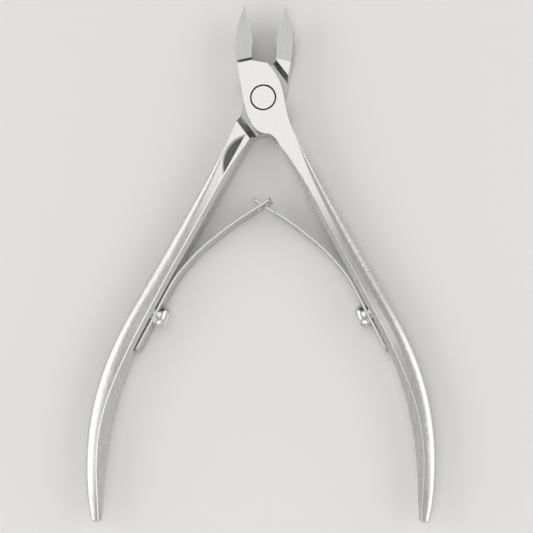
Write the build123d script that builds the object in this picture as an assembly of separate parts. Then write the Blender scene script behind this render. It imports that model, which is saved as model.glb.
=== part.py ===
"""Cuticle nipper: two forged levers on a lap joint, a pivot rivet and a pair of interlocking leaf springs.

Frame: the nipper lies flat, jaws towards +Y and handles towards -Y. The Z axis is the pivot's axis and
z = 0 is the flat underside of the lap joint. Millimetres.

Each lever is modelled in its closed place, with its cutting edge on x = 0, and is then turned about the
pivot to its rest place, with the jaws open. The front lever has its jaw on the left and its handle on the
right. The back lever's joint and handle are the same forging turned over about the Y direction.
"""

from build123d import *
from collections import namedtuple
from math import atan2, cos, degrees, hypot, radians, sin
import os

# ---- driving dimensions -------------------------------------------------------------------------------
joint_thickness = 6.4  # over both halves of the lap joint
half_opening = 11.65  # degrees that each lever turns from closed to rest
handle_set = 1.1  # degrees that each handle is set outwards from its jaw
jaw_length = 21.4  # pivot to jaw tip, closed
joint_gap = 0.06  # between the two lap faces
edge_gap = 0.02  # from each cutting edge to the closed centre line

boss_half_width = 4.25
boss_arc_radius_x = 3.35
boss_foot = -7.85  # lowest reach of the boss's round edge
shoulder_distance = 7.6  # pivot to each shoulder of the lap recess
shoulder_angle = 41.4  # the shoulders' normal, from the Y axis
shoulder_slope = 1.3  # how far each shoulder leans in, from the joint's face to the lap
shoulder_fillet = 0.45
shoulder_clearance = 0.25  # from the closed boss to the other lever's shoulders

scoop_centre = (3.49, -13.74)  # middle of the hollow's inner border
scoop_angle = 15.5  # of the border, from the Y axis
scoop_wheel_radius = 17.6
scoop_wheel_width = 5.0
scoop_depth = 0.8  # at its inner border
scoop_tilt = 20.0

crease_depth = 0.16  # of the fine step between a handle's face and its inner bevel
bevel_slope = 0.3
end_break = 0.3  # round a handle's end

pivot_head_radius = 2.54
pivot_head_height = 1.4
pivot_shank_radius = 1.8
pivot_tail_flare = 0.5
pivot_clearance = 0.04  # shank in the front lever
pivot_head_clearance = 0.26  # round the head, seen as a dark ring
pivot_edge_break = 0.07
pivot_head_lift = 0.05  # under the head, so the front lever can turn

blade_drop = 0.9  # the ground face of a blade lies this far below the joint's face
blade_tip_drop = 1.5
blade_tip_thickness = 0.3
blade_root = 8.55  # where the front lever's grind begins, along Y
back_blade_root = 2.0  # the back lever's grind runs into the lap recess
ramp_length = 0.85
hollow_radius = 3.1
hollow_width = 1.55  # how far the hollow reaches behind the edge
hollow_offset = 3.1  # of the hollow's axis below the blade's ground face
hollow_start = 11.0
edge_land = 0.3  # width of the bright bevel along a cutting edge

pad_height = 0.38  # the flat seat raised on a handle's inner side for its leaf spring
pad_radius = 1.9
screw_from_station = 2.2  # from the seat's upper station to the screw, down the handle
leaf_thickness = 0.5
leaf_width = 5.0
foot_below_screw = 9.1
foot_above_screw = 8.6
foot_corner = 1.3
flex_gap = 0.12  # between a leaf's foot and its swinging blade
crossing_height = -23.14  # where the leaves cross on x = 0
crossing_slope = 33.5  # of each leaf there, above the X axis
tongue_width = 1.8
tongue_before_crossing = 3.2
tongue_past_crossing = 2.7
slot_width = 2.4
slot_before_crossing = 1.8
slot_past_crossing = 1.4
slot_bar = 0.8

screw_head_radius = 2.62
screw_head_height = 2.1
screw_dome = 1.45
screw_shank_radius = 1.25
screw_shank_depth = 2.9  # into the handle
screw_slot_width = 0.6
screw_slot_depth = 0.8
screw_slot_turn = 35.0
leaf_hole_clearance = 0.1

mid = joint_thickness / 2
slack = 1.0  # how far a cutting tool runs past what it cuts

# Stations down the handle: centre x and y, width, thickness, width of the inner bevel, rounding of the outer side
Station = namedtuple("Station", "x y width thickness bevel rounding")
handle_stations = [
    Station(3.25, -10.6, 3.95, joint_thickness, 0.02, 0.03),
    Station(4.32, -14.4, 3.86, 6.2, 0.55, 0.60),
    Station(5.54, -18.6, 3.86, 6.0, 0.85, 1.10),
    Station(8.28, -27.9, 4.10, 5.7, 0.95, 1.8),
    Station(11.35, -38.2, 4.30, 5.6, 0.95, 2.2),
    Station(14.05, -47.6, 4.62, 5.6, 0.95, 2.3),
    Station(16.62, -57.2, 4.80, 5.6, 0.95, 2.3),
    Station(18.05, -66.6, 4.82, 5.4, 1.35, 2.3),
    Station(18.20, -75.4, 4.60, 5.2, 1.75, 2.1),
    Station(17.20, -83.9, 4.05, 4.8, 1.50, 1.9),
    Station(15.92, -89.6, 3.45, 4.3, 1.05, 1.6),
    Station(14.45, -94.6, 2.55, 3.5, 0.60, 1.2),
    Station(13.85, -96.4, 1.80, 2.9, 0.40, 0.8),
]
seat_stations = (5, 6)  # the leaf spring's seat is level with these two

# A blade's line from its screw: distance up the handle, distance in from the handle's inner side
blade_line = [(15.4, 2.3), (20.3, 4.2), (26.2, 7.03)]


def turned(shape, angle):
    """The shape turned about the pivot's axis."""
    return Rot(0, 0, angle) * shape


def turned_over(shape):
    """The shape turned half round about the Y direction at mid thickness."""
    return Pos(0, 0, mid) * Rot(0, 180, 0) * Pos(0, 0, -mid) * shape


def mirrored(shape):
    """The shape mirrored in the plane x = 0."""
    return mirror(shape, about=Plane.YZ)


def prism(face_wire, low, high):
    """A solid from a closed flat outline between two heights."""
    return Pos(0, 0, low) * extrude(make_face(face_wire), amount=high - low)


def set_out(x, y):
    """A point of the joint or handle, carried round with the handle's set."""
    turn = radians(handle_set)
    return x * cos(turn) - y * sin(turn), x * sin(turn) + y * cos(turn)


def polygon(*points):
    """A closed outline of straight sides."""
    return Polyline(*points, close=True)


# ---- levers -------------------------------------------------------------------------------------------
def handle_run():
    """The handle's centre line as a smooth curve through its stations."""
    return Spline(*[(s.x, s.y) for s in handle_stations])


def handle_root():
    """The handle's heading at its first station, and its inner and outer edges there."""
    first = handle_stations[0]
    down = handle_run() % 0
    along = Vector(*set_out(down.X, down.Y))
    across = Vector(-along.Y, along.X) * (first.width / 2)
    centre = Vector(*set_out(first.x, first.y))
    return along, centre - across, centre + across


def joint_and_jaw_blank():
    """The front lever from its jaw tip to the root of its handle, full thickness, closed."""
    along, inner, outer = handle_root()
    down, up = (along.X, along.Y), (-along.X, -along.Y)
    root_inner, root_outer = (inner.X, inner.Y), (outer.X, outer.Y)
    tip = (-edge_gap, jaw_length)
    jaw_heel = (-4.1, 8.0)
    waist = set_out(-boss_half_width, 0.4)
    boss_end = set_out(-1.0, boss_foot)
    boss_right = set_out(boss_half_width + 0.2, 0.4)
    boss_top = (2.4, 7.15)
    notch = (-0.85, 8.5)
    edge_end = (-edge_gap, 13.3)
    outline = [
        Spline(tip, (-1.3, 19.1), (-2.9, 15.8), (-3.85, 11.9), jaw_heel, tangents=[(-0.45, -1), (-0.04, -1)]),
        Line(jaw_heel, waist),
        Spline(waist, set_out(-3.78, -4.4), boss_end, tangents=[(0.02, -1), (1, -0.25)]),
        Spline(boss_end, set_out(0.45, -8.9), root_inner, tangents=[(1, -0.25), down]),
        Line(root_inner, root_outer),
        Spline(root_outer, set_out(4.32, -5.0), boss_right, tangents=[up, (0, 1)]),
        Spline(boss_right, set_out(4.15, 2.9), set_out(3.5, 4.95), boss_top),
        Line(boss_top, notch),
        Spline(notch, (-0.72, 9.4), (-0.5, 10.9), edge_end, tangents=[(0.08, 1), (0.05, 1)]),
        Line(edge_end, tip),
    ]
    return prism(outline, 0, joint_thickness)


def station_section(place, along):
    """The closed section of the handle at a station, on a plane square to its run."""
    across = Vector(-along.Y, along.X, 0)
    if across.X < 0:
        across = -across
    plane = Plane(origin=(place.x, place.y, mid), x_dir=across, z_dir=along)
    inner, outer = -place.width / 2, place.width / 2
    top = place.thickness / 2
    step = min(crease_depth, place.bevel / 2)
    wall_top = top - step - place.bevel * bevel_slope
    crown = 0.1 * place.rounding
    round_x = min(place.rounding * 1.05, (place.width - place.bevel) * 0.7)
    round_z = min(place.rounding, top * 0.8)
    softness = 0.45
    face_end = (outer - round_x, top - crown)
    bevel_end = (inner + place.bevel, top - step)
    face_start = (bevel_end[0] + step, top)
    slope = crown / max(face_end[0] - face_start[0], 0.3)
    lead = (face_end[0] + round_x * softness, face_end[1] - slope * round_x * softness)

    def corner(sign):
        return Bezier(
            (face_end[0], sign * face_end[1]),
            (lead[0], sign * lead[1]),
            (outer, sign * (top - round_z * softness)),
            (outer, sign * (top - round_z)),
        )

    wire = [
        Line((inner, -wall_top), (inner, wall_top)),
        Line((inner, wall_top), bevel_end),
        Line(bevel_end, face_start),
        Line(face_start, face_end),
        corner(1),
        Line((outer, top - round_z), (outer, round_z - top)),
        corner(-1),
        Line((face_end[0], -face_end[1]), (face_start[0], -top)),
        Line((face_start[0], -top), (bevel_end[0], -bevel_end[1])),
        Line((bevel_end[0], -bevel_end[1]), (inner, -wall_top)),
    ]
    return plane * make_face(wire)


def handle():
    """The handle from inside the joint to its rounded end, closed."""
    run = handle_run()
    sections = []
    for s in handle_stations:
        along = run.tangent_at(run.param_at_point((s.x, s.y)))
        sections.append(station_section(s, along))
    body = loft(sections)
    end = body.faces().sort_by(Axis.Y)[0]
    return turned(chamfer(end.edges(), end_break), handle_set)


def lap_recess():
    """What the lap joint leaves out of the front lever's back half, between its two shoulders."""
    floor = mid + joint_gap / 2
    narrow = shoulder_distance - shoulder_slope
    wide = shoulder_distance + shoulder_slope * slack / floor
    profile = polygon((-wide, -slack), (wide, -slack), (narrow, floor), (-narrow, floor))
    bar = extrude(Plane.YZ * make_face(profile), amount=2 * shoulder_distance, both=True)
    bar = fillet(bar.edges().filter_by(Axis.X).group_by(Axis.Z)[-1], shoulder_fillet)
    return turned(bar, shoulder_angle)


def boss_relief():
    """What the front boss leaves free for the back lever's sloping shoulders, closed."""
    low, high = mid - joint_gap, joint_thickness + slack
    lean = shoulder_slope / mid
    foot = shoulder_distance - shoulder_slope - shoulder_clearance
    far = shoulder_distance + 4 * slack
    profile = polygon((foot, low), (foot + lean * (high - low), high), (far, high), (far, low))
    wedge = extrude(Plane.YZ * make_face(profile), amount=shoulder_distance - slack, both=True)
    upper = turned(wedge, -shoulder_angle)
    return upper + turned(upper, 180)


def scoop():
    """The hollow ground with a large wheel along the handle's face, on the recess side."""
    wheel = Cylinder(scoop_wheel_radius, scoop_wheel_width, align=(Align.CENTER, Align.CENTER, Align.MIN))
    wheel = Rot(0, 90, 0) * wheel
    wheel = Pos(0, 0, -scoop_wheel_radius) * wheel
    wheel = Pos(0, 0, scoop_depth) * Rot(0, scoop_tilt, 0) * wheel
    return turned(Pos(*scoop_centre, 0) * Rot(0, 0, scoop_angle) * wheel, handle_set)


def pivot_hole(fitted):
    """What the rivet needs cut from a lever: a running hole and its head's seat, or a press hole."""
    if fitted:
        hole = Pos(0, 0, mid / 2) * Cylinder(pivot_shank_radius, mid + 2 * slack)
        return hole + Pos(0, 0, pivot_tail_flare / 2) * Cone(
            pivot_shank_radius + pivot_tail_flare, pivot_shank_radius, pivot_tail_flare
        )
    seat_radius = pivot_head_radius + pivot_head_clearance
    hole = Pos(0, 0, mid) * Cylinder(pivot_shank_radius + pivot_clearance, joint_thickness + 2 * slack)
    seat_floor = joint_thickness - pivot_head_height
    seat = Pos(0, 0, seat_floor + (pivot_head_height + slack) / 2) * Cylinder(seat_radius, pivot_head_height + slack)
    rim = Pos(0, 0, joint_thickness - pivot_edge_break / 2) * Cone(
        seat_radius, seat_radius + pivot_edge_break, pivot_edge_break
    )
    return hole + seat + rim


def blade_cuts(root):
    """What grinding takes from a left jaw, closed: its face, its back and the hollow behind its edge."""
    face_z = joint_thickness - blade_drop
    tip_z = joint_thickness - blade_tip_drop
    past = jaw_length + 2 * slack
    slope = (tip_z - face_z) / (jaw_length - root - ramp_length)
    past_z = tip_z + slope * 2 * slack
    side = Plane.YZ
    face_profile = [
        Line((root, joint_thickness + slack), (root, joint_thickness)),
        Line((root, joint_thickness), (root + ramp_length, face_z)),
        Line((root + ramp_length, face_z), (past, past_z)),
        Line((past, past_z), (past, joint_thickness + slack)),
        Line((past, joint_thickness + slack), (root, joint_thickness + slack)),
    ]
    face_cut = Pos(-8, 0, 0) * extrude(side * make_face(face_profile), amount=16)
    back_profile = [
        Spline(
            (6.2, 0),
            (13.5, 1.25),
            (jaw_length, tip_z - blade_tip_thickness),
            tangents=[(1, 0.02), (1, 0.62)],
        ),
        Line((jaw_length, tip_z - blade_tip_thickness), (past, tip_z)),
        Line((past, tip_z), (past, -slack)),
        Line((past, -slack), (6.2, -slack)),
        Line((6.2, -slack), (6.2, 0)),
    ]
    back_cut = Pos(-8, 0, 0) * extrude(side * make_face(back_profile), amount=16)
    return face_cut, back_cut


def blade_hollow():
    """The hollow behind a left jaw's cutting edge: a drum that follows the blade's face."""
    drop = blade_tip_drop - blade_drop
    lean = degrees(atan2(drop, jaw_length - blade_root))
    length = jaw_length - hollow_start + 4
    drum = Cylinder(hollow_radius, length, align=(Align.CENTER, Align.CENTER, Align.MIN))
    drum = Rot(-90 - lean, 0, 0) * (drum + Sphere(hollow_radius))
    return Pos(hollow_radius - hollow_width, hollow_start, joint_thickness - blade_drop - hollow_offset) * drum


def edge_bevel():
    """The fine bevel along a left jaw's cutting edge, on its ground face."""
    face_z = joint_thickness - blade_drop
    drop = blade_tip_drop - blade_drop
    lean = degrees(atan2(drop, jaw_length - blade_root - ramp_length))
    bar = Box(2, jaw_length, 2, align=(Align.MIN, Align.MIN, Align.MIN))
    bar = Pos(-edge_land, 0, 0) * Rot(0, 35, 0) * bar
    return Pos(0, blade_root + ramp_length, face_z) * Rot(-lean, 0, 0) * bar


def lever(front):
    """One finished lever, closed. The front one has its jaw on the left."""
    body = joint_and_jaw_blank() + handle()
    for cut in (lap_recess(), boss_relief(), scoop()):
        body = body - cut
    if not front:
        body = turned_over(body)
    face_cut, back_cut = blade_cuts(blade_root if front else back_blade_root)
    for cut in (back_cut, blade_hollow(), edge_bevel(), face_cut):
        body = body - (cut if front else mirrored(cut))
    return body - pivot_hole(fitted=not front)


# ---- springs and screws -------------------------------------------------------------------------------
def inner_wall(index):
    """A point on the front lever's inner side at a station, closed."""
    s = handle_stations[index]
    ahead, behind = handle_stations[index + 1], handle_stations[index - 1]
    run = Vector(ahead.x - behind.x, ahead.y - behind.y).normalized()
    wall = Vector(s.x, s.y) + Vector(run.Y, -run.X) * (s.width / 2)
    return Vector(*set_out(wall.X, wall.Y))


def spring_seat():
    """The plane of the front lever's spring seat, closed: X up the handle, Z in from its inner side."""
    upper, lower = (inner_wall(i) for i in seat_stations)
    up = (upper - lower).normalized()
    inward = Vector(-up.Y, up.X)
    screw = upper - up * screw_from_station
    return Plane(origin=(screw.X, screw.Y, mid), x_dir=up, z_dir=inward)


def seat_point(along, inward):
    """A point at mid thickness, at rest, from its place on the front lever's spring seat."""
    seat = spring_seat()
    closed = seat.origin + seat.x_dir * along + seat.z_dir * inward
    return closed.rotate(Axis.Z, half_opening)


def leaf_centre():
    """How far the middle of a leaf's foot lies in from the handle's inner side."""
    return pad_height + leaf_thickness / 2


def flex_point():
    """Where the right leaf bends between its foot and its blade, at rest."""
    return seat_point(foot_above_screw + flex_gap / 2, leaf_centre())


def right_blade_line():
    """The middle line of the right leaf's blade, at rest, from its foot to past the crossing on x = 0."""
    start = seat_point(foot_above_screw + flex_gap, leaf_centre())
    points = [start] + [seat_point(*place) for place in blade_line]
    points = [(p.X, p.Y) for p in points]
    lift = seat_point(1, 0.1) - seat_point(0, 0)
    crossing = (0, crossing_height)
    beyond = (-cos(radians(crossing_slope)), sin(radians(crossing_slope)))
    return Spline(*points, crossing, tangents=[(lift.X, lift.Y), beyond])


def strip(line, overrun):
    """A leaf blade's solid along a middle line, carried straight on by an overrun."""
    count = 9
    places = [line @ (i / (count - 1)) for i in range(count)]
    headings = [line % (i / (count - 1)) for i in range(count)]
    places.append(places[-1] + headings[-1] * overrun)
    headings.append(headings[-1])
    sides = []
    for side in (1, -1):
        edge = [p + Vector(-h.Y, h.X) * (side * leaf_thickness / 2) for p, h in zip(places, headings)]
        sides.append([(p.X, p.Y) for p in edge])
    left, right = sides
    first, last = headings[0], headings[-1]
    spread = [(first.X, first.Y), (last.X, last.Y)]
    outline = [
        Spline(*left[:-1], tangents=spread),
        Line(left[-2], left[-1]),
        Line(left[-1], right[-1]),
        Line(right[-1], right[-2]),
        Spline(*right[:-1], tangents=spread),
        Line(right[0], left[0]),
    ]
    return prism(outline, mid - leaf_width / 2, mid + leaf_width / 2)


def crossing_frame():
    """The right blade's own axes where it crosses x = 0: X onwards to its tip, Z across its thickness."""
    slope = radians(crossing_slope)
    ahead = Vector(-cos(slope), sin(slope))
    return Plane(origin=(0, crossing_height, mid), x_dir=ahead, z_dir=(-ahead.Y, ahead.X, 0))


def tongue_blade():
    """The right leaf's blade, whose end is narrowed to a tongue."""
    blade = strip(right_blade_line(), tongue_past_crossing)
    frame = crossing_frame()
    length = tongue_before_crossing + tongue_past_crossing + slack
    side = (leaf_width - tongue_width) / 2 + slack
    for sign in (1, -1):
        block = Box(length, side, 4 * leaf_thickness, align=(Align.MIN, Align.MIN, Align.CENTER))
        block = fillet(block.edges().filter_by(Axis.Z).group_by(Axis.X)[0], 0.5)
        block = Pos(-tongue_before_crossing, tongue_width / 2, 0) * block
        if sign < 0:
            block = Rot(180, 0, 0) * block
        blade = blade - frame * block
    tip = blade.faces().sort_by(Axis.X)[0]
    corners = [e for e in tip.edges() if abs(e.length - leaf_thickness) < 0.02]
    return fillet(corners, 0.35 * tongue_width)


def slotted_blade():
    """The left leaf's blade, with a slot for the tongue and a bar across its end."""
    blade = strip(right_blade_line(), slot_past_crossing + slot_bar)
    frame = crossing_frame()
    span = slot_before_crossing + slot_past_crossing
    slot = Box(span, slot_width, 4 * leaf_thickness, align=(Align.MIN, Align.CENTER, Align.CENTER))
    slot = fillet(slot.edges().filter_by(Axis.Z), 0.4)
    blade = blade - frame * (Pos(-slot_before_crossing, 0, 0) * slot)
    tip = blade.faces().sort_by(Axis.X)[0]
    corners = [e for e in tip.edges() if abs(e.length - leaf_thickness) < 0.02]
    return mirrored(fillet(corners, 0.6))


def spring_foot():
    """The right leaf's foot, flat on the handle's seat, with the screw's hole, closed."""
    length = foot_below_screw + foot_above_screw
    plate = Box(length, leaf_width, leaf_thickness, align=(Align.MAX, Align.CENTER, Align.MIN))
    plate = fillet(plate.edges().filter_by(Axis.Z).group_by(Axis.X)[0], foot_corner)
    plate = Pos(foot_above_screw, 0, pad_height) * plate
    plate = plate - Cylinder(screw_shank_radius + leaf_hole_clearance, 4 * leaf_thickness)
    return spring_seat() * plate


def screw():
    """The right spring's screw with a domed, slotted head, closed."""
    under = pad_height + leaf_thickness
    head = Pos(0, 0, under + screw_head_height / 2) * Cylinder(screw_head_radius, screw_head_height)
    head = fillet(head.edges().group_by(Axis.Z)[-1], screw_dome)
    shank_length = under + screw_shank_depth
    shank = Pos(0, 0, under - shank_length / 2) * Cylinder(screw_shank_radius, shank_length)
    top = under + screw_head_height
    slot = Pos(0, 0, top) * Box(4 * screw_head_radius, screw_slot_width, 2 * screw_slot_depth)
    return spring_seat() * (head + shank - Rot(0, 0, screw_slot_turn) * slot)


def seated(body, front):
    """A closed lever given its spring seat and screw hole."""
    pad = Pos(0, 0, pad_height - slack / 2) * Cylinder(pad_radius, slack)
    depth = screw_shank_depth + pad_height + slack
    hole = Pos(0, 0, pad_height + slack - depth / 2) * Cylinder(screw_shank_radius, depth)
    pad, hole = (spring_seat() * tool for tool in (pad, hole))
    if not front:
        pad, hole = mirrored(pad), mirrored(hole)
    return body + pad - hole


# ---- rivet --------------------------------------------------------------------------------------------
def pivot():
    """The joint's rivet: a flush head in the front lever and a flared tail in the back lever."""
    underside = joint_thickness - pivot_head_height + pivot_head_lift
    profile = [
        (0, 0),
        (pivot_shank_radius + pivot_tail_flare, 0),
        (pivot_shank_radius, pivot_tail_flare),
        (pivot_shank_radius, underside),
        (pivot_head_radius, underside),
        (pivot_head_radius, joint_thickness - pivot_edge_break),
        (pivot_head_radius - pivot_edge_break, joint_thickness),
        (0, joint_thickness),
    ]
    return revolve(Plane.XZ * make_face(polygon(*profile)), Axis.Z)


def parts():
    """Every piece at rest, by name."""
    right_foot, right_screw = (turned(piece, half_opening) for piece in (spring_foot(), screw()))
    return {
        "front_lever": turned(seated(lever(True), True), half_opening),
        "back_lever": turned(seated(lever(False), False), -half_opening),
        "pivot_pin": pivot(),
        "right_spring_foot": right_foot,
        "left_spring_foot": mirrored(right_foot),
        "right_spring_blade": tongue_blade(),
        "left_spring_blade": slotted_blade(),
        "right_spring_screw": right_screw,
        "left_spring_screw": mirrored(right_screw),
    }


os.makedirs("parts", exist_ok=True)
for name, shape in parts().items():
    export_step(shape, f"parts/{name}.step")
    print(name, len(shape.solids()), round(shape.volume, 1), shape.is_valid)
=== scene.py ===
"""Cuticle nipper: finishes, leaf springs, screws, floor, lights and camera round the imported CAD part.

Lengths are in millimetres in the classes below and are turned to metres where a mesh is made. The row frame has
its origin on the pivot's axis, on the underside of the lap joint, with the jaws towards +Y.
"""

import logging
from dataclasses import dataclass
from enum import Enum
from math import cos, radians, sin
from typing import Callable, Dict, List, Optional, Tuple

import bmesh
import bpy
from mathutils import Matrix, Vector

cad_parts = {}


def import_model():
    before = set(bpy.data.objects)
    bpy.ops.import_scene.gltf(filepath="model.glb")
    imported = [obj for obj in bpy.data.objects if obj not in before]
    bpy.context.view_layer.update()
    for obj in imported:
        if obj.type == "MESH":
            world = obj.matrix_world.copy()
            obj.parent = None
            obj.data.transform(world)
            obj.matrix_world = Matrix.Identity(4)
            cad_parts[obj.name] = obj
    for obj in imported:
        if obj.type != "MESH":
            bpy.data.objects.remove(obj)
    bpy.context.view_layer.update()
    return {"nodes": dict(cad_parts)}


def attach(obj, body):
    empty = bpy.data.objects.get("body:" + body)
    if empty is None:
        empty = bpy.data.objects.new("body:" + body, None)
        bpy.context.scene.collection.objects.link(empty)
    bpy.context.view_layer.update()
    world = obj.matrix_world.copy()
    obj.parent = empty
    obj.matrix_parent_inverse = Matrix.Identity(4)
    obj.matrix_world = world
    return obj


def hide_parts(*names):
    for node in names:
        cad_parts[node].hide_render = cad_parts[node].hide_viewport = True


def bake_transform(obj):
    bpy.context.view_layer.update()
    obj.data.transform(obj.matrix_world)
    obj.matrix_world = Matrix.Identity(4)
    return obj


log = logging.getLogger("nipper")

MM = 0.001
Point = Tuple[float, float, float]
Flat = Tuple[float, float]


class Side(Enum):
    """Which handle a spring or screw belongs to, and the sign of its x."""

    LEFT = -1
    RIGHT = 1

    @property
    def lever_body(self) -> str:
        """The body of the lever whose handle is on this side."""
        return "back_lever_body" if self is Side.LEFT else "front_lever_body"

    @property
    def blade_body(self) -> str:
        """The body of the leaf spring's swinging blade on this side."""
        return "left_blade_body" if self is Side.LEFT else "right_blade_body"

    @property
    def word(self) -> str:
        """The side's name in node and piece names."""
        return self.name.lower()


# ---- small helpers ------------------------------------------------------------------------------------
def linear(code: str) -> Tuple[float, float, float, float]:
    """Turns an sRGB hex colour to linear.

    Args:
        code: six hex digits, with or without a hash.

    Returns:
        The linear red, green and blue, and an alpha of 1.
    """
    digits = code.lstrip("#")
    parts = [int(digits[i : i + 2], 16) / 255 for i in (0, 2, 4)]
    red, green, blue = (c / 12.92 if c <= 0.04045 else ((c + 0.055) / 1.055) ** 2.4 for c in parts)
    return red, green, blue, 1.0


def add_node(
    tree: bpy.types.NodeTree,
    kind: str,
    settings: Optional[Dict[str, object]] = None,
    sockets: Optional[Dict[object, object]] = None,
) -> bpy.types.Node:
    """Adds a node with its settings and links.

    Args:
        tree: the node tree.
        kind: the node's type name.
        settings: attributes to set on the node.
        sockets: input name or index to a value, or to the output socket that feeds it.

    Returns:
        The new node.
    """
    node = tree.nodes.new(kind)
    for name, value in (settings or {}).items():
        setattr(node, name, value)
    for name, value in (sockets or {}).items():
        if isinstance(value, bpy.types.NodeSocket):
            tree.links.new(value, node.inputs[name])
        else:
            node.inputs[name].default_value = value
    return node


def select_only(obj: bpy.types.Object) -> None:
    """Makes one object the only selected and the active one."""
    bpy.ops.object.select_all(action="DESELECT")
    obj.select_set(True)
    bpy.context.view_layer.objects.active = obj


def clear_selection() -> None:
    """Leaves nothing selected, so that no operator reaches a CAD node."""
    if bpy.context.mode != "OBJECT":
        bpy.ops.object.mode_set(mode="OBJECT")
    bpy.ops.object.select_all(action="DESELECT")


def pick(obj: bpy.types.Object, faces: Callable[[bmesh.types.BMFace], bool]) -> int:
    """Selects the faces of the mesh in edit mode that pass a test.

    Args:
        obj: the object in edit mode.
        faces: the test on each face.

    Returns:
        How many faces are selected.
    """
    bpy.ops.mesh.select_mode(type="FACE")
    bpy.ops.mesh.select_all(action="DESELECT")
    mesh = bmesh.from_edit_mesh(obj.data)
    count = 0
    for face in mesh.faces:
        if faces(face):
            face.select_set(True)
            count += 1
    bmesh.update_edit_mesh(obj.data)
    return count


def pick_edges(obj: bpy.types.Object, edges: Callable[[bmesh.types.BMEdge], bool]) -> int:
    """Selects the edges of the mesh in edit mode that pass a test.

    Args:
        obj: the object in edit mode.
        edges: the test on each edge.

    Returns:
        How many edges are selected.
    """
    bpy.ops.mesh.select_mode(type="EDGE")
    bpy.ops.mesh.select_all(action="DESELECT")
    mesh = bmesh.from_edit_mesh(obj.data)
    count = 0
    for edge in mesh.edges:
        if edges(edge):
            edge.select_set(True)
            count += 1
    bmesh.update_edit_mesh(obj.data)
    return count


def apply_modifier(obj: bpy.types.Object, kind: str, **settings: object) -> None:
    """Adds a modifier with its settings and applies it.

    Args:
        obj: the piece.
        kind: the modifier's type.
        settings: attributes to set on it.
    """
    select_only(obj)
    modifier = obj.modifiers.new(kind.title(), kind)
    for name, value in settings.items():
        setattr(modifier, name, value)
    bpy.ops.object.modifier_apply(modifier=modifier.name)


def place_mesh(obj: bpy.types.Object, matrix: Matrix) -> None:
    """Puts a piece's place into its mesh and leaves its object at the origin, with faces outwards."""
    obj.data.transform(matrix @ obj.matrix_world)
    obj.matrix_world = Matrix.Identity(4)
    select_only(obj)
    bpy.ops.object.mode_set(mode="EDIT")
    bpy.ops.mesh.select_all(action="SELECT")
    bpy.ops.mesh.remove_doubles(threshold=1e-7)
    bpy.ops.mesh.normals_make_consistent(inside=False)
    bpy.ops.object.mode_set(mode="OBJECT")


def dress(obj: bpy.types.Object, material: bpy.types.Material) -> None:
    """Gives a piece or a CAD node its one material."""
    obj.data.materials.clear()
    obj.data.materials.append(material)


# ---- finishes -----------------------------------------------------------------------------------------
@dataclass(frozen=True)
class Patch:
    """A place where painted shade darkens the polished body's colour.

    The hollow beside each handle, the lap joint's floor, the ring round the rivet and the jaws' ground faces are
    painted darker as shade and dark reflections. A patch is a box in its own axes, which are the row's, moved to a
    centre and turned about Z. Where oval is set it is a drum instead, with its half width and half length as radii.
    The top may fall along the patch's own Y.
    """

    centre: Flat
    turn: float  # degrees about Z
    half_width: float
    half_length: float
    low: float
    high: float
    fall: float = 0.0  # how far the top falls for each millimetre towards -Y
    oval: bool = False
    border: int = 0  # 1 or -1 keeps only the half on that side of the patch's own Y axis
    # Near black by default: the painted shade in the groove round the rivet's head.
    colour: str = "1C1C1D"
    strength: float = 1.0

    def mask(self, tree: bpy.types.NodeTree, place: bpy.types.NodeSocket) -> bpy.types.NodeSocket:
        """Builds the mask.

        Args:
            tree: the material's node tree.
            place: the Object coordinates.

        Returns:
            A socket that is the patch's strength inside it and 0 outside.
        """
        moved = add_node(
            tree,
            "ShaderNodeMapping",
            {"vector_type": "TEXTURE"},
            {
                "Vector": place,
                "Location": (self.centre[0] * MM, self.centre[1] * MM, 0),
                "Rotation": (0, 0, radians(self.turn)),
                "Scale": (MM, MM, MM),
            },
        )
        split = add_node(tree, "ShaderNodeSeparateXYZ", {}, {0: moved.outputs["Vector"]})
        across, along, height = split.outputs["X"], split.outputs["Y"], split.outputs["Z"]
        tests = []
        if self.oval:
            scale = (1 / self.half_width, 1 / self.half_length, 0)
            flat = add_node(
                tree, "ShaderNodeVectorMath", {"operation": "MULTIPLY"}, {0: moved.outputs["Vector"], 1: scale}
            )
            radius = add_node(tree, "ShaderNodeVectorMath", {"operation": "LENGTH"}, {0: flat.outputs["Vector"]})
            limits = ((radius.outputs["Value"], 1.0),)
        else:
            limits = ((across, self.half_width), (along, self.half_length))
        for socket, half in limits:
            size = add_node(tree, "ShaderNodeMath", {"operation": "ABSOLUTE"}, {0: socket})
            tests.append(add_node(tree, "ShaderNodeMath", {"operation": "LESS_THAN"}, {0: size.outputs[0], 1: half}))
        if self.border:
            signed = add_node(tree, "ShaderNodeMath", {"operation": "MULTIPLY"}, {0: across, 1: float(self.border)})
            tests.append(
                add_node(tree, "ShaderNodeMath", {"operation": "GREATER_THAN"}, {0: signed.outputs[0], 1: -0.12})
            )
        tests.append(add_node(tree, "ShaderNodeMath", {"operation": "GREATER_THAN"}, {0: height, 1: self.low}))
        drop = add_node(tree, "ShaderNodeMath", {"operation": "MULTIPLY"}, {0: split.outputs["Y"], 1: -self.fall})
        level = add_node(tree, "ShaderNodeMath", {"operation": "ADD"}, {0: height, 1: drop.outputs[0]})
        tests.append(
            add_node(tree, "ShaderNodeMath", {"operation": "LESS_THAN"}, {0: level.outputs[0], 1: self.high})
        )
        first = tests[0].outputs[0]
        result = add_node(tree, "ShaderNodeMath", {"operation": "MULTIPLY"}, {0: first, 1: self.strength})
        for test in tests[1:]:
            result = add_node(
                tree, "ShaderNodeMath", {"operation": "MULTIPLY"}, {0: result.outputs[0], 1: test.outputs[0]}
            )
        return result.outputs[0]


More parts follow.
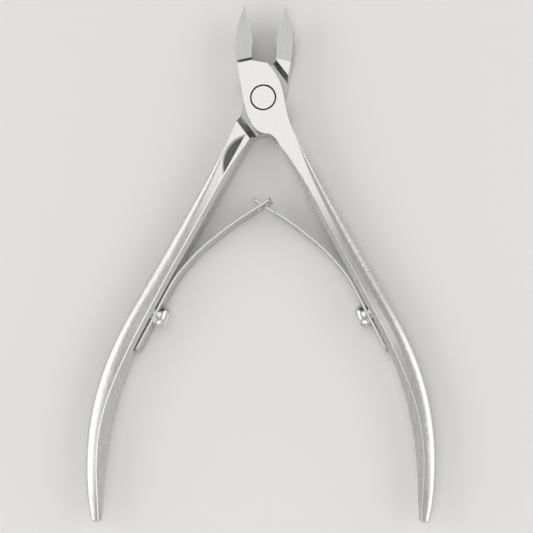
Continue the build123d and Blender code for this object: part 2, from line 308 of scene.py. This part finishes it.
@dataclass(frozen=True)
class SatinSteel:
    """Forged martensitic stainless steel, ground and then satin polished on a fine greased wheel.

    It gives the eye a pale, faintly warm grey that is almost white where it faces the light. The polish leaves
    short soft scratches, and a slight orange peel from the wheel that makes the reflections waver.
    """

    name: str
    colour: str = "DCDBD8"
    dark: str = "D0CFCD"
    roughness: float = 0.27
    spread: float = 0.04  # how far the roughness wanders
    scratch_mm: float = 0.35  # width of a polishing scratch, drawn coarser than the real 0.05 mm so that it shows
    scratch_stretch: float = 9.0  # how much longer than wide a scratch is
    scratch_angle: float = 0.0  # degrees from the row's Y axis
    peel_mm: float = 2.2  # size of the wheel's ripples
    bump: float = 0.04
    # Painted shade mixed over the steel's colour.
    painted_shades: Tuple["Patch", ...] = ()

    def make(self) -> bpy.types.Material:
        """Builds the material.

        Returns:
            The new material.
        """
        material = bpy.data.materials.new(self.name)
        material.use_nodes = True
        tree = material.node_tree
        tree.nodes.clear()
        coordinates = add_node(tree, "ShaderNodeTexCoord")
        turned = add_node(
            tree,
            "ShaderNodeMapping",
            {"vector_type": "POINT"},
            {"Vector": coordinates.outputs["Object"], "Rotation": (0, 0, radians(-self.scratch_angle))},
        )
        per_mm = 1 / (self.scratch_mm * MM)
        stretched = add_node(
            tree,
            "ShaderNodeMapping",
            {"vector_type": "POINT"},
            {"Vector": turned.outputs["Vector"], "Scale": (per_mm, per_mm / self.scratch_stretch, per_mm)},
        )
        scratches = add_node(
            tree,
            "ShaderNodeTexNoise",
            {"noise_dimensions": "3D"},
            {"Vector": stretched.outputs["Vector"], "Scale": 1.0, "Detail": 3.0, "Roughness": 0.6},
        )
        peel = add_node(
            tree,
            "ShaderNodeTexNoise",
            {"noise_dimensions": "3D"},
            {"Vector": coordinates.outputs["Object"], "Scale": 1 / (self.peel_mm * MM), "Detail": 2.0},
        )
        tint = add_node(
            tree,
            "ShaderNodeMix",
            {"data_type": "RGBA"},
            {0: scratches.outputs["Fac"], 6: linear(self.dark), 7: linear(self.colour)},
        )
        colour = tint.outputs[2]
        # Painted shade: inside each patch's mask the colour is mixed towards the patch's darker colour.
        for patch in self.painted_shades:
            shaded = add_node(
                tree,
                "ShaderNodeMix",
                {"data_type": "RGBA"},
                {0: patch.mask(tree, coordinates.outputs["Object"]), 6: colour, 7: linear(patch.colour)},
            )
            colour = shaded.outputs[2]
        gloss = add_node(
            tree,
            "ShaderNodeMapRange",
            {},
            {
                "Value": scratches.outputs["Fac"],
                "From Min": 0.3,
                "From Max": 0.7,
                "To Min": self.roughness - self.spread,
                "To Max": self.roughness + self.spread,
            },
        )
        ripple = add_node(
            tree,
            "ShaderNodeBump",
            {},
            {"Height": peel.outputs["Fac"], "Strength": self.bump, "Distance": 0.05 * MM},
        )
        grain = add_node(
            tree,
            "ShaderNodeBump",
            {},
            {
                "Height": scratches.outputs["Fac"],
                "Strength": self.bump,
                "Distance": 0.02 * MM,
                "Normal": ripple.outputs["Normal"],
            },
        )
        shader = add_node(
            tree,
            "ShaderNodeBsdfPrincipled",
            {},
            {
                "Base Color": colour,
                "Metallic": 1.0,
                "Roughness": gloss.outputs["Result"],
                "Normal": grain.outputs["Normal"],
            },
        )
        add_node(tree, "ShaderNodeOutputMaterial", {}, {"Surface": shader.outputs["BSDF"]})
        return material


@dataclass(frozen=True)
class MattePaper:
    """Seamless paper sweep: a flat pale surface with a fibre too fine to see, and no gloss."""

    name: str = "seamless_paper"
    colour: str = "F3F2F0"

    def make(self) -> bpy.types.Material:
        """Builds the material.

        Returns:
            The new material.
        """
        material = bpy.data.materials.new(self.name)
        material.use_nodes = True
        tree = material.node_tree
        tree.nodes.clear()
        shader = add_node(
            tree,
            "ShaderNodeBsdfPrincipled",
            {},
            {"Base Color": linear(self.colour), "Roughness": 0.9, "Specular IOR Level": 0.2},
        )
        add_node(tree, "ShaderNodeOutputMaterial", {}, {"Surface": shader.outputs["BSDF"]})
        return material


# ---- the nipper ---------------------------------------------------------------------------------------
@dataclass
class Levers:
    """The two forged levers and the rivet that joins them."""

    opening: float = 11.65  # degrees that each jaw is turned out from closed
    handle_lean: float = 28.25  # degrees of the wheel-ground hollow's border from the row's Y axis
    front_jaw_reach: float = 15.95  # from the pivot to the middle of the front lever's ground face
    back_jaw_reach: float = 15.5
    # Painted shade: the wheel-ground hollows are painted a mid grey.
    scoop_shade_colour: str = "7E7E7E"
    # Painted shade: the jaws' ground faces are painted a lighter grey than the hollows.
    jaw_shade_colour: str = "B4B4B3"
    # Painted shade: the groove round the rivet's head is painted near black, on the levers and on the rivet.
    seat: Patch = Patch((0.0, 0.0), 0.0, 2.9, 2.9, 4.9, 6.36, oval=True)
    # Painted shade: the floor of the lap joint's recess is painted a darker grey.
    lap: Patch = Patch((0.0, 0.0), 0.0, 9.0, 9.0, 3.0, 3.4, colour="A8A8A8")

    def _scoop(self, side: Side) -> Patch:
        """Painted shade of the wheel-ground hollow beside a handle's root: on top at the left, underneath at the
        right.
        """
        # The middle of the hollow's straight inner border at rest.
        x, y = 6.436, -12.631
        if side is Side.LEFT:
            return Patch((-x, y), -self.handle_lean, 2.05, 5.5, 5.2, 6.15, 0.02, True, -1, self.scoop_shade_colour)
        return Patch((x, y), self.handle_lean, 2.05, 5.5, 0.25, 1.2, 0.0, True, 1, self.scoop_shade_colour)

    def _jaw(self, side: Side) -> Patch:
        """Painted shade of the ground face of a lever's jaw, which lies across the middle from its handle."""
        sign = side.value
        turn = radians(self.opening)
        reach = self.front_jaw_reach if side is Side.RIGHT else self.back_jaw_reach
        middle = (-sign * sin(turn) * reach, cos(turn) * reach)
        return Patch(middle, sign * self.opening, 6.0, 6.5, 3.5, 5.55, colour=self.jaw_shade_colour)

    def dress(self, nodes: Dict[str, bpy.types.Object]) -> None:
        """Gives the carried-over CAD nodes their finish, with painted shade over the rivet's ring, the lap joint's
        floor, the hollows and the jaws.

        Args:
            nodes: the frame's CAD nodes by name.
        """
        levers = (("front_lever", Side.RIGHT), ("back_lever", Side.LEFT))
        for name, side in levers:
            # Painted shade over the rivet's ring, the lap joint's floor, the hollow and the jaw.
            painted_shades = (self.seat, self.lap, self._scoop(side), self._jaw(side))
            finish = SatinSteel(f"satin_polished_stainless_{side.word}_lever", painted_shades=painted_shades)
            dress(nodes[name], finish.make())
        # The rivet gets the same near-black painted shade in the ring round its head.
        rivet = SatinSteel("satin_ground_stainless_rivet", scratch_angle=40.0, painted_shades=(self.seat,))
        dress(nodes["pivot_pin"], rivet.make())


@dataclass
class LeafSpring:
    """One flat steel leaf: its foot under the screw and its blade out to the crossing."""

    side: Side
    slotted: bool
    height: float = 3.2  # of the leaf's middle above the rest plane
    thickness: float = 0.6
    width: float = 5.0
    line: Tuple[Flat, ...] = (
        (26.78, -54.75),
        (24.70, -50.70),
        (22.62, -46.66),
        (20.66, -42.84),
        (18.40, -38.85),
        (16.10, -35.95),
        (13.35, -33.00),
        (10.06, -30.17),
        (6.84, -27.64),
        (3.46, -25.33),
        (0.0, -23.14),
        (-1.83, -21.93),
    )
    flex_start: Point = (19.6, -40.8, 3.2)
    flex_end: Point = (17.6, -37.6, 3.2)
    tongue_width: float = 1.8
    tongue_length: float = 5.9
    tongue_reach: float = 2.7  # past the crossing
    slot_width: float = 2.4
    slot_length: float = 3.2
    slot_reach: float = 2.2  # past the crossing
    slot_bar: float = 0.8
    foot_corner: float = 1.3
    tip_corner: float = 0.55
    step: float = 0.8  # between cross sections along the leaf
    edge_break: float = 0.09
    finish: SatinSteel = SatinSteel(
        "rolled_spring_steel_strip", "D2D2D0", "B9B9B7", 0.27, 0.06, 0.3, 14.0, 0.0, 3.0, 0.08
    )

    def _path(self) -> bpy.types.Object:
        """The leaf's middle line as a Bezier curve, flat in its own XY plane."""
        bpy.ops.curve.primitive_bezier_curve_add()
        path = bpy.context.active_object
        spline = path.data.splines[0]
        spline.bezier_points.add(len(self.line) - 2)
        # The line ends past the crossing, where the slotted leaf ends. The tongue runs a little further.
        (x, y), (before_x, before_y) = self.line[-1], self.line[-2]
        further = 1.0 if self.slotted else self.tongue_reach / self.slot_reach
        end = (before_x + (x - before_x) * further, before_y + (y - before_y) * further)
        for point, (x, y) in zip(spline.bezier_points, self.line[:-1] + (end,)):
            point.co = (x * MM, y * MM, 0)
            point.handle_left_type = point.handle_right_type = "AUTO"
        path.data.resolution_u = 24
        return path

    def _length(self, path: bpy.types.Object) -> float:
        """The middle line's length in millimetres."""
        return path.data.splines[0].calc_length() / MM

    def _ribbon(self, length: float) -> bpy.types.Object:
        """A flat ribbon along X, with its tip worked to a tongue or a slot.

        Args:
            length: the ribbon's length in millimetres.

        Returns:
            The ribbon, one face thick.
        """
        count = round(length / self.step)
        clear_selection()
        bpy.ops.mesh.primitive_grid_add(x_subdivisions=count, y_subdivisions=1, size=1, location=(0, 0, 0))
        ribbon = bpy.context.active_object
        ribbon.scale = (length * MM, self.width * MM, 1)
        ribbon.location = (length * MM / 2, 0, 0)
        bpy.ops.object.transform_apply(location=True, rotation=False, scale=True)
        bpy.ops.object.mode_set(mode="EDIT")
        gap = self.slot_width if self.slotted else self.tongue_width
        for y in (gap / 2, -gap / 2):
            bpy.ops.mesh.select_all(action="SELECT")
            bpy.ops.mesh.bisect(plane_co=(0, y * MM, 0), plane_no=(0, 1, 0))
        if self.slotted:
            cuts = (length - self.slot_bar, length - self.slot_bar - self.slot_length)
        else:
            cuts = (length - self.tongue_length,)
        for x in cuts:
            bpy.ops.mesh.select_all(action="SELECT")
            bpy.ops.mesh.bisect(plane_co=(x * MM, 0, 0), plane_no=(1, 0, 0))
        half = gap / 2 * MM

        def waste(face: bmesh.types.BMFace) -> bool:
            """Whether a face lies in the slot, or beside the tongue."""
            x, y, _ = face.calc_center_median()
            if self.slotted:
                return abs(y) < half and cuts[1] * MM < x < cuts[0] * MM
            return abs(y) > half and x > cuts[0] * MM

        pick(ribbon, waste)
        bpy.ops.mesh.delete(type="FACE")
        self._round_corners(ribbon, length)
        bpy.ops.object.mode_set(mode="OBJECT")
        return ribbon

    def _round_corners(self, ribbon: bpy.types.Object, length: float) -> None:
        """Rounds the ribbon's corners at its foot and at its tip."""
        tip_width = self.tongue_width if not self.slotted else self.width
        for x, width, radius in ((0.0, self.width, self.foot_corner), (length, tip_width, self.tip_corner)):
            bpy.ops.mesh.select_mode(type="VERT")
            bpy.ops.mesh.select_all(action="DESELECT")
            mesh = bmesh.from_edit_mesh(ribbon.data)
            for vertex in mesh.verts:
                at_end = abs(vertex.co.x - x * MM) < 1e-6
                if at_end and abs(abs(vertex.co.y) - width / 2 * MM) < 1e-6:
                    vertex.select_set(True)
            bmesh.update_edit_mesh(ribbon.data)
            bpy.ops.mesh.bevel(affect="VERTICES", offset=radius * MM, segments=5)

    def build(self) -> bpy.types.Object:
        """Builds the leaf as one continuous strip.

        Returns:
            The finished piece.
        """
        clear_selection()
        path = self._path()
        ribbon = self._ribbon(self._length(path))
        ribbon.name = f"{self.side.word}_leaf_spring"
        # The ribbon stands on its edge, so that it bends about the row's Z.
        ribbon.data.transform(Matrix.Rotation(radians(90), 4, "X"))
        apply_modifier(
            ribbon, "SOLIDIFY", thickness=self.thickness * MM, offset=0.0, use_even_offset=True
        )
        apply_modifier(
            ribbon, "BEVEL", width=self.edge_break * MM, segments=2, limit_method="ANGLE", angle_limit=radians(50)
        )
        apply_modifier(ribbon, "CURVE", object=path, deform_axis="POS_X")
        bpy.data.objects.remove(path)
        place = Matrix.Translation((0, 0, self.height * MM))
        if self.side is Side.LEFT:
            place = Matrix.Scale(-1, 4, (1, 0, 0)) @ place
        place_mesh(ribbon, place)
        select_only(ribbon)
        bpy.ops.object.shade_smooth_by_angle(angle=radians(35))
        return ribbon

    def dress(self, leaf: bpy.types.Object) -> None:
        """Gives the leaf its finish, hides the CAD solids it stands for and bakes its place into its mesh."""
        dress(leaf, self.finish.make())
        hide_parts(f"{self.side.word}_spring_foot", f"{self.side.word}_spring_blade")
        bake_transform(leaf)


@dataclass
class SpringScrew:
    """A round-head slotted screw that clamps a leaf's foot."""

    side: Side
    seat: Point = (23.18, -46.38, 3.2)  # on the handle's inner side
    inward: Flat = (-0.889175, -0.457568)
    under_head: float = 0.93
    head_radius: float = 2.62
    head_height: float = 2.05
    dome: float = 1.4
    shank_radius: float = 1.25
    shank_depth: float = 2.7
    slot_width: float = 0.6
    slot_depth: float = 0.8
    slot_turn: float = 35.0
    finish: SatinSteel = SatinSteel(
        "turned_stainless_screw", "E2E2E0", "CFCFCD", 0.22, 0.05, 0.25, 3.0, 0.0, 1.2, 0.06
    )

    def build(self) -> bpy.types.Object:
        """Builds the screw standing on its own Z axis and puts it in its place.

        Returns:
            The finished piece.
        """
        clear_selection()
        bpy.ops.mesh.primitive_cylinder_add(
            vertices=64,
            radius=self.head_radius * MM,
            depth=self.head_height * MM,
            location=(0, 0, (self.under_head + self.head_height / 2) * MM),
        )
        screw = bpy.context.active_object
        screw.name = f"{self.side.word}_slotted_screw"
        bpy.ops.object.transform_apply(location=True, rotation=False, scale=False)
        top = (self.under_head + self.head_height) * MM
        bpy.ops.object.mode_set(mode="EDIT")
        # The shank is drawn out of the head's underside.
        pick(screw, lambda face: face.normal.z < -0.9)
        bpy.ops.mesh.inset(thickness=(self.head_radius - self.shank_radius) * MM, depth=0)
        drop = -(self.under_head + self.shank_depth) * MM
        bpy.ops.mesh.extrude_region_move(TRANSFORM_OT_translate={"value": (0, 0, drop)})
        # The head's rim is turned to a low dome.
        pick_edges(screw, lambda edge: all(abs(v.co.z - top) < 1e-7 for v in edge.verts))
        bpy.ops.mesh.bevel(offset=self.dome * MM, segments=10, profile=0.5, affect="EDGES")
        bpy.ops.object.mode_set(mode="OBJECT")
        self._cut_slot(screw, top)
        apply_modifier(
            screw, "BEVEL", width=0.06 * MM, segments=2, limit_method="ANGLE", angle_limit=radians(40)
        )
        place_mesh(screw, self._place())
        select_only(screw)
        bpy.ops.object.shade_smooth_by_angle(angle=radians(35))
        return screw

    def _cut_slot(self, screw: bpy.types.Object, top: float) -> None:
        """Mills the driver's slot across the head."""
        bpy.ops.object.select_all(action="DESELECT")
        bpy.ops.mesh.primitive_cube_add(size=1, location=(0, 0, top), rotation=(0, 0, radians(self.slot_turn)))
        bar = bpy.context.active_object
        bar.scale = (4 * self.head_radius * MM, self.slot_width * MM, 2 * self.slot_depth * MM)
        bpy.ops.object.transform_apply(location=True, rotation=True, scale=True)
        apply_modifier(screw, "BOOLEAN", object=bar, operation="DIFFERENCE", solver="EXACT")
        bpy.data.objects.remove(bar)

    def _place(self) -> Matrix:
        """The screw's place: its Z along the way in from the handle."""
        sign = self.side.value
        inward = Vector((sign * self.inward[0], self.inward[1], 0))
        up = Vector((0, 0, 1))
        along = up.cross(inward)
        turn = Matrix((along, up, inward)).transposed().to_4x4()
        seat = Vector((sign * self.seat[0], self.seat[1], self.seat[2])) * MM
        return Matrix.Translation(seat) @ turn

    def dress(self, screw: bpy.types.Object) -> None:
        """Gives the screw its finish and lets it ride on its lever."""
        dress(screw, self.finish.make())
        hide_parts(f"{self.side.word}_spring_screw")
        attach(screw, self.side.lever_body)


# ---- stage --------------------------------------------------------------------------------------------
@dataclass
class Studio:
    """The paper sweep, the lights and the camera."""

    distance: float = 700.0
    yaw: float = 6.0
    pitch: float = 8.5
    roll: float = 0.65
    scale: float = 0.215  # millimetres of the object's plane for each step of the image's width
    image: int = 533
    aim: Flat = (0.487, -35.80)

    def floor(self) -> bpy.types.Object:
        """Lays the floor under the nipper."""
        clear_selection()
        bpy.ops.mesh.primitive_plane_add(size=3.0, location=(0, 0, -0.00002))
        floor = bpy.context.active_object
        floor.name = "floor"
        bpy.ops.object.transform_apply(location=True, rotation=False, scale=False)
        dress(floor, MattePaper().make())
        return floor

    def lights(self) -> None:
        """Hangs the soft boxes and sets the room's fill."""
        middle = (0.0, -0.035, 0.0)
        boxes = (
            # name, place, aimed at, width, height, power
            ("overhead", (-0.05, 0.14, 0.90), middle, 0.60, 0.80, 1.25),
            ("left_wall", (-0.80, -0.05, 0.30), middle, 1.30, 0.75, 3.6),
            ("right_wall", (0.80, -0.05, 0.30), middle, 1.30, 0.75, 3.6),
            ("foot_wall", (0.0, -0.95, 0.35), middle, 0.90, 0.50, 1.8),
        )
        for name, place, target, width, height, power in boxes:
            data = bpy.data.lights.new(name, "AREA")
            data.shape = "RECTANGLE"
            data.size = width
            data.size_y = height
            data.energy = power
            light = bpy.data.objects.new(name, data)
            bpy.context.scene.collection.objects.link(light)
            light.location = place
            heading = Vector(target) - Vector(place)
            light.rotation_euler = heading.to_track_quat("-Z", "Y").to_euler()
        world = bpy.data.worlds.new("room")
        bpy.context.scene.world = world
        world.use_nodes = True
        tree = world.node_tree
        background = tree.nodes["Background"]
        # The room is dark beyond the jaws, which is what the steel's ramps and shoulders mirror.
        heading = add_node(tree, "ShaderNodeTexCoord")
        split = add_node(tree, "ShaderNodeSeparateXYZ", {}, {0: heading.outputs["Generated"]})
        far = add_node(
            tree,
            "ShaderNodeMapRange",
            {},
            {"Value": split.outputs["Y"], "From Min": 0.45, "From Max": 0.8, "To Min": 0.0, "To Max": 1.0},
        )
        room = add_node(
            tree,
            "ShaderNodeMix",
            {"data_type": "RGBA"},
            {0: far.outputs["Result"], 6: linear("E2E2E2"), 7: linear("4A4A4A")},
        )
        tree.links.new(room.outputs[2], background.inputs["Color"])
        background.inputs["Strength"].default_value = 0.64
        bpy.context.scene.view_settings.view_transform = "Standard"

    def camera(self) -> None:
        """Sets the camera square over the nipper, a little to the right and towards the handles."""
        yaw, pitch, roll = radians(self.yaw), radians(self.pitch), radians(self.roll)
        back = Vector((sin(yaw) * cos(pitch), -sin(pitch), cos(yaw) * cos(pitch)))
        right = Vector((0, 1, 0)).cross(back).normalized()
        up = back.cross(right)
        turned_right = right * cos(roll) + up * sin(roll)
        turned_up = up * cos(roll) - right * sin(roll)
        place = Matrix((turned_right, turned_up, back)).transposed().to_4x4()
        target = Vector((self.aim[0], self.aim[1], 0)) * MM
        place.translation = target + back * self.distance * MM
        data = bpy.data.cameras.new("camera")
        data.sensor_width = 36.0
        data.lens = 36.0 * self.distance / (self.scale * self.image)
        data.clip_start = 0.01
        data.clip_end = 20.0
        camera = bpy.data.objects.new("camera", data)
        bpy.context.scene.collection.objects.link(camera)
        camera.matrix_world = place
        bpy.context.scene.camera = camera


def main() -> None:
    """Builds every piece in order and reports it."""
    logging.basicConfig(level=logging.INFO, format="%(name)s: %(message)s")
    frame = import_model()
    Levers().dress(frame["nodes"])
    log.info("levers and rivet dressed")
    for side in Side:
        spring = LeafSpring(side, slotted=side is Side.LEFT)
        leaf = spring.build()
        spring.dress(leaf)
        log.info("%s: %d faces", leaf.name, len(leaf.data.polygons))
        screw_maker = SpringScrew(side)
        screw = screw_maker.build()
        screw_maker.dress(screw)
        log.info("%s: %d faces", screw.name, len(screw.data.polygons))
    studio = Studio()
    studio.floor()
    studio.lights()
    studio.camera()


if __name__ == "__main__":
    main()
